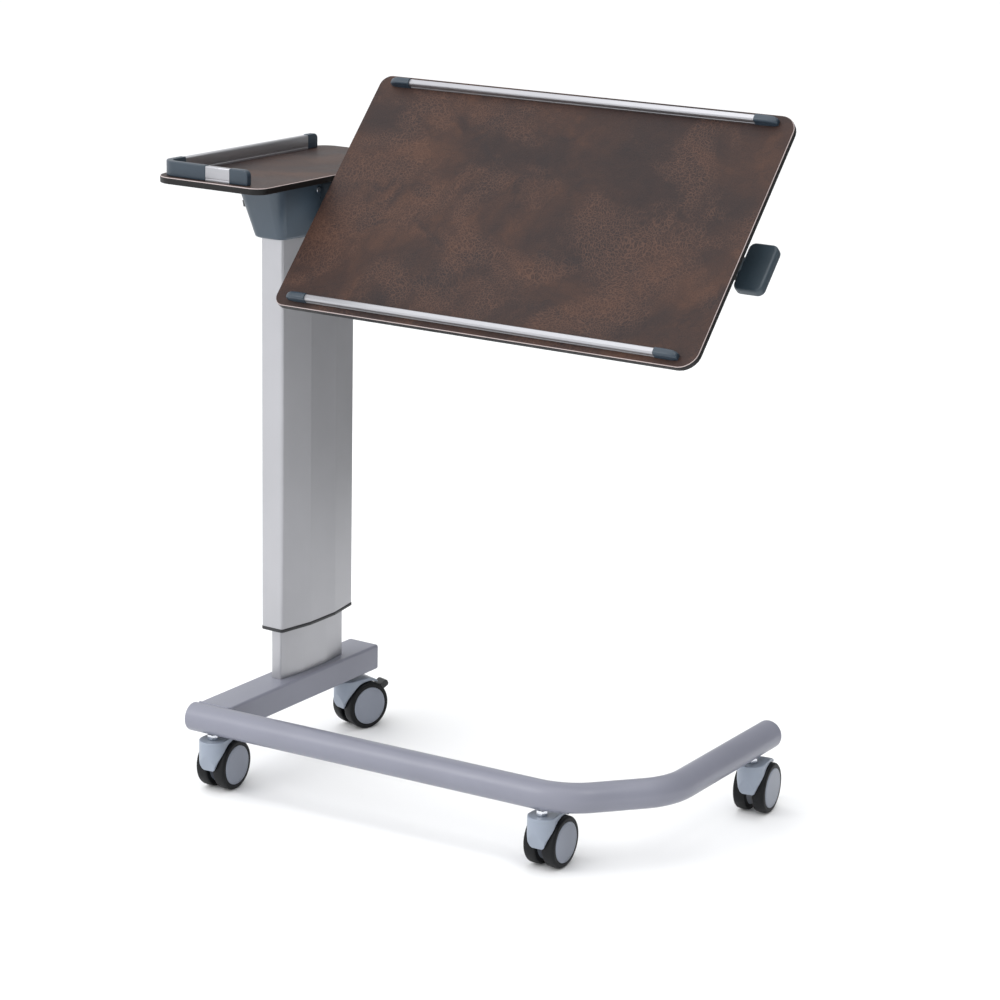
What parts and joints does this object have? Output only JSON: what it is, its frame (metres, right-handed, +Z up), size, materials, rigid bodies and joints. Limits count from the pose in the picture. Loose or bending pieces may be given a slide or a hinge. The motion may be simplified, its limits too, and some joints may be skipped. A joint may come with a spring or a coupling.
{
  "type": "overbed table",
  "caption": "Wheeled overbed table with a U-shaped tube base, a telescopic column, a fixed side tray and a wide tilting top with edge rails",
  "frame": {"origin": "on the floor under the middle of the table's overall box, top tilted 48 degrees as at rest", "axes": "+X from the column side to the open side of the base, along the tilt axis; +Y from the front tube to the open back of the base; +Z up"},
  "size_m": [0.899, 0.4748, 1.0314],
  "materials": {
    "base_paint": "lilac-grey powder coat, semi-gloss",
    "column_paint": "light silver satin anodised profile",
    "steel": "plain machined steel",
    "bracket_paint": "black powder coat",
    "zinc": "bright zinc plated",
    "top_laminate": "brown leather-look laminate on board, fine creased grain, satin",
    "rail_alu": "satin anodised rail",
    "dark_plastic": "dark slate moulded plastic, fine texture",
    "hood_plastic": "slate moulded plastic, smooth satin",
    "black_plastic": "black moulded plastic",
    "caster_plastic": "grey-blue moulded nylon",
    "hub_plastic": "grey-blue moulded nylon, satin",
    "tyre": "near-black soft tread rubber",
    "guide_plastic": "white acetal guide",
    "screw_steel": "small plated screws"
  },
  "bodies": {
    "base": {"base_beam": "base_paint", "beam_end_cap": "base_paint", "base_tube": "base_paint", "tube_end_caps": "base_paint", "inner_column": "column_paint", "column_foot_plate": "steel", "column_foot_bolts": "zinc", "gas_spring_cylinder": "black_plastic", "upper_guide": "guide_plastic", "caster_stems": "zinc"},
    "lift": {"outer_column": "column_paint", "wiper_ring": "black_plastic", "lower_guide": "guide_plastic", "gas_spring_rod": "steel", "head_bracket": "steel", "head_hood": "hood_plastic", "hood_screws": "screw_steel", "side_tray": "top_laminate", "tray_rail_long": "rail_alu", "tray_rail_short": "rail_alu", "tray_rail_corner": "dark_plastic", "tray_rail_end_caps": "dark_plastic", "tray_screws": "screw_steel", "tilt_shaft": "steel"},
    "lever": {"release_lever": "black_plastic"},
    "top": {"main_top": "top_laminate", "front_rail": "rail_alu", "rear_rail": "rail_alu", "main_rail_end_caps": "dark_plastic", "tilt_bracket_left": "bracket_paint", "tilt_bracket_right": "bracket_paint", "bracket_screws": "screw_steel"},
    "knob": {"tilt_knob": "dark_plastic"},
    "swivel_fl": {"caster_hood_fl": "caster_plastic", "axle_fl": "steel"},
    "wheel_fl_left": {"tyre_fl_left": "tyre", "hub_fl_left": "hub_plastic"},
    "wheel_fl_right": {"tyre_fl_right": "tyre", "hub_fl_right": "hub_plastic"},
    "swivel_fr": {"caster_hood_fr": "caster_plastic", "axle_fr": "steel"},
    "wheel_fr_left": {"tyre_fr_left": "tyre", "hub_fr_left": "hub_plastic"},
    "wheel_fr_right": {"tyre_fr_right": "tyre", "hub_fr_right": "hub_plastic"},
    "swivel_br": {"caster_hood_br": "caster_plastic", "axle_br": "steel"},
    "wheel_br_left": {"tyre_br_left": "tyre", "hub_br_left": "hub_plastic"},
    "wheel_br_right": {"tyre_br_right": "tyre", "hub_br_right": "hub_plastic"},
    "swivel_bl": {"caster_hood_bl": "caster_plastic", "axle_bl": "steel"},
    "wheel_bl_left": {"tyre_bl_left": "tyre", "hub_bl_left": "hub_plastic"},
    "wheel_bl_right": {"tyre_bl_right": "tyre", "hub_bl_right": "hub_plastic"},
    "brake_fl": {"brake_pedal_fl": "black_plastic"},
    "brake_bl": {"brake_pedal_bl": "black_plastic"}
  },
  "joints": [
    {"name": "height", "type": "slide", "parent": "base", "child": "lift", "axis": [0, 0, 1], "range_m": [-0.075, 0.265]},
    {"name": "tilt", "type": "hinge", "parent": "lift", "child": "top", "pos_m": [0, 0.01366, 0.838], "axis": [1, 0, 0], "range_deg": [-48, 12]},
    {"name": "tilt_lock", "type": "hinge", "parent": "lift", "child": "knob", "pos_m": [0.42, 0.01366, 0.838], "axis": [1, 0, 0], "range_deg": [-90, 90]},
    {"name": "height_release", "type": "hinge", "parent": "lift", "child": "lever", "pos_m": [-0.338, 0.02166, 0.864], "axis": [0, 1, 0], "range_deg": [0, 8], "stiffness_Nm_per_rad": 0.5},
    {"name": "swivel_fl", "type": "hinge", "parent": "base", "child": "swivel_fl", "pos_m": [-0.3175, -0.21434, 0.075], "axis": [0, 0, 1], "continuous": true},
    {"name": "wheel_fl_left", "type": "hinge", "parent": "swivel_fl", "child": "wheel_fl_left", "pos_m": [-0.33425, -0.18845, 0.0375], "axis": [0.9976, 0.0698, 0], "continuous": true},
    {"name": "wheel_fl_right", "type": "hinge", "parent": "swivel_fl", "child": "wheel_fl_right", "pos_m": [-0.30452, -0.18637, 0.0375], "axis": [0.9976, 0.0698, 0], "continuous": true},
    {"name": "swivel_fr", "type": "hinge", "parent": "base", "child": "swivel_fr", "pos_m": [0.23564, -0.18341, 0.075], "axis": [0, 0, 1], "continuous": true},
    {"name": "wheel_fr_left", "type": "hinge", "parent": "swivel_fr", "child": "wheel_fr_left", "pos_m": [0.21957, -0.15709, 0.0375], "axis": [0.999, 0.0436, 0], "continuous": true},
    {"name": "wheel_fr_right", "type": "hinge", "parent": "swivel_fr", "child": "wheel_fr_right", "pos_m": [0.24934, -0.15579, 0.0375], "axis": [0.999, 0.0436, 0], "continuous": true},
    {"name": "swivel_br", "type": "hinge", "parent": "base", "child": "swivel_br", "pos_m": [0.37136, 0.17093, 0.075], "axis": [0, 0, 1], "continuous": true},
    {"name": "wheel_br_left", "type": "hinge", "parent": "swivel_br", "child": "wheel_br_left", "pos_m": [0.35341, 0.196, 0.0375], "axis": [0.9932, 0.1167, 0], "continuous": true},
    {"name": "wheel_br_right", "type": "hinge", "parent": "swivel_br", "child": "wheel_br_right", "pos_m": [0.38301, 0.19948, 0.0375], "axis": [0.9932, 0.1167, 0], "continuous": true},
    {"name": "swivel_bl", "type": "hinge", "parent": "base", "child": "swivel_bl", "pos_m": [-0.322, 0.12466, 0.075], "axis": [0, 0, 1], "continuous": true},
    {"name": "wheel_bl_left", "type": "hinge", "parent": "swivel_bl", "child": "wheel_bl_left", "pos_m": [-0.32862, 0.15478, 0.0375], "axis": [0.9588, -0.284, 0], "continuous": true},
    {"name": "wheel_bl_right", "type": "hinge", "parent": "swivel_bl", "child": "wheel_bl_right", "pos_m": [-0.30005, 0.14632, 0.0375], "axis": [0.9588, -0.284, 0], "continuous": true},
    {"name": "brake_fl", "type": "hinge", "parent": "swivel_fl", "child": "brake_fl", "pos_m": [-0.31938, -0.18741, 0.0375], "axis": [0.9976, 0.0698, 0], "range_deg": [-12, 0]},
    {"name": "brake_bl", "type": "hinge", "parent": "swivel_bl", "child": "brake_bl", "pos_m": [-0.31433, 0.15055, 0.0375], "axis": [0.9588, -0.284, 0], "range_deg": [-12, 0]}
  ]
}
